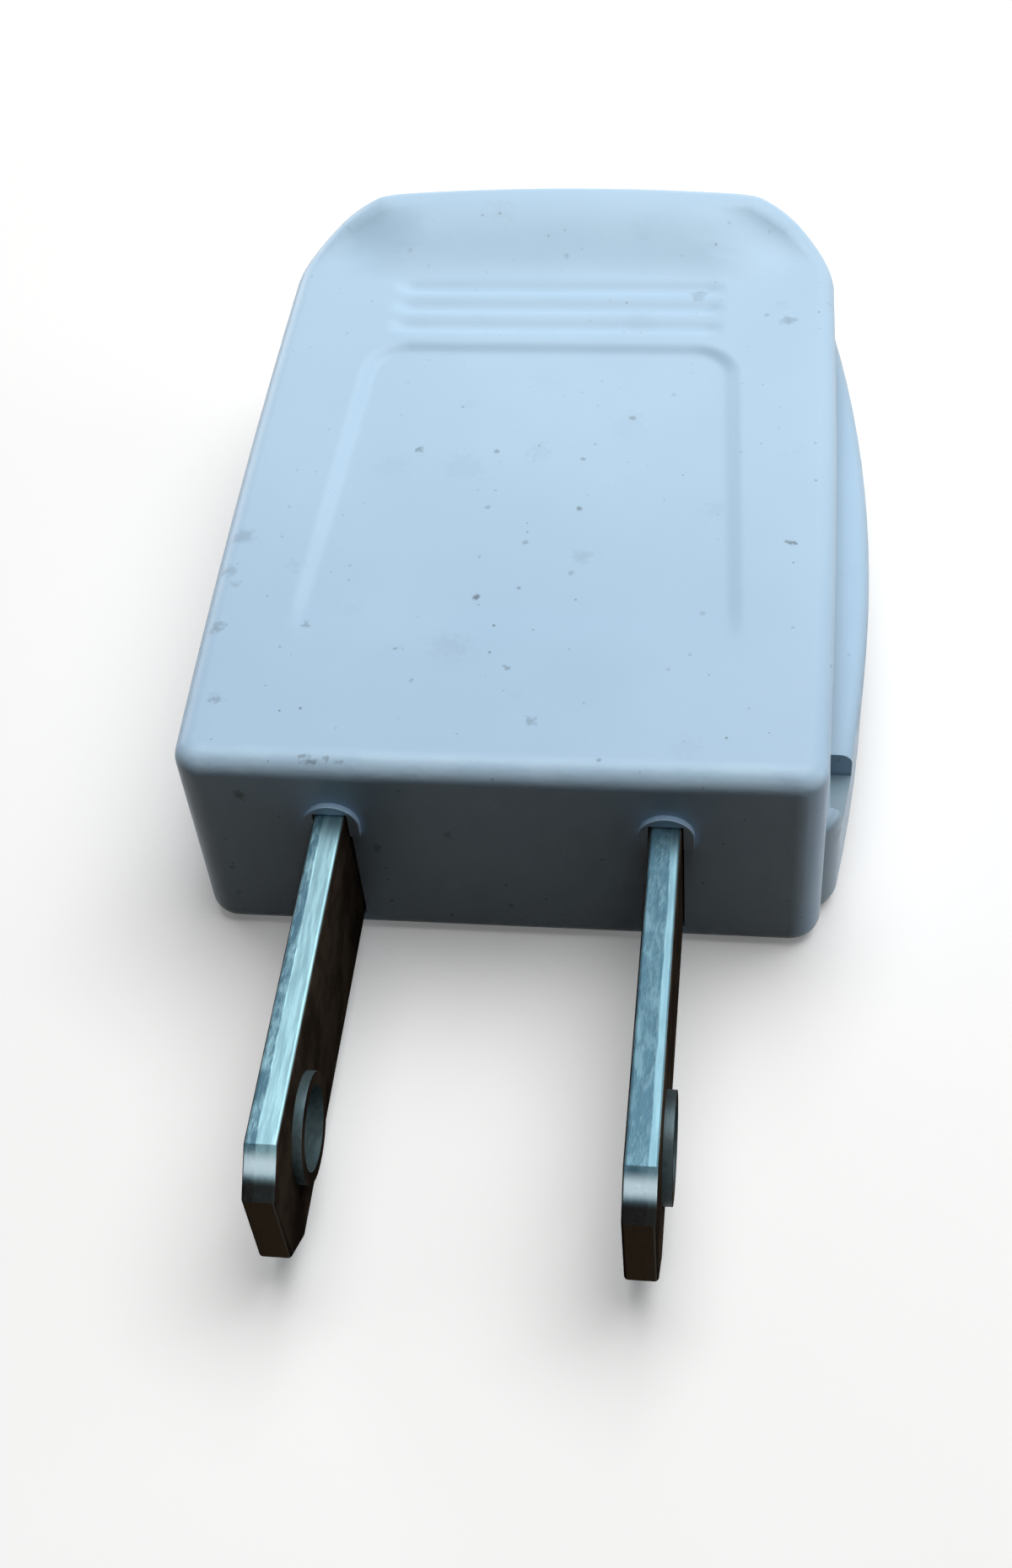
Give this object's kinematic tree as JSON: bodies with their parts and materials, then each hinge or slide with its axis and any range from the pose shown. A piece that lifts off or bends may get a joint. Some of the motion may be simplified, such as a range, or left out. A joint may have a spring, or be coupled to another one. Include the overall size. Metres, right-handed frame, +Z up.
{
  "type": "type a plug",
  "caption": "Flat white rewirable mains plug with two flat blades, a sunk panel and finger grooves on top, a raised rear lip and a round cord inlet.",
  "frame": {"origin": "middle of the front face that meets the socket, halfway between the two blades and at half their width", "axes": "-Y along the blades into the socket, +Y to the rear lip and cord inlet, +X to the right blade, +Z up through the grooved top"},
  "size_m": [0.028, 0.0509, 0.012],
  "materials": {
    "white_plastic": "moulded, semi-gloss, lightly scuffed",
    "blade_metal": "nickel plated, blanked edges, slightly tarnished",
    "screw_steel": "zinc plated"
  },
  "bodies": {
    "root": {"upper_shell": "white_plastic", "lower_shell": "white_plastic", "blade_left": "blade_metal", "blade_right": "blade_metal", "terminal_washer_left": "screw_steel", "terminal_washer_right": "screw_steel", "terminal_screw_left": "screw_steel", "terminal_screw_right": "screw_steel", "clamp_screw_left": "screw_steel", "clamp_screw_right": "screw_steel", "case_screw": "screw_steel", "case_nut": "screw_steel", "cord_clamp": "white_plastic"}
  },
  "joints": []
}
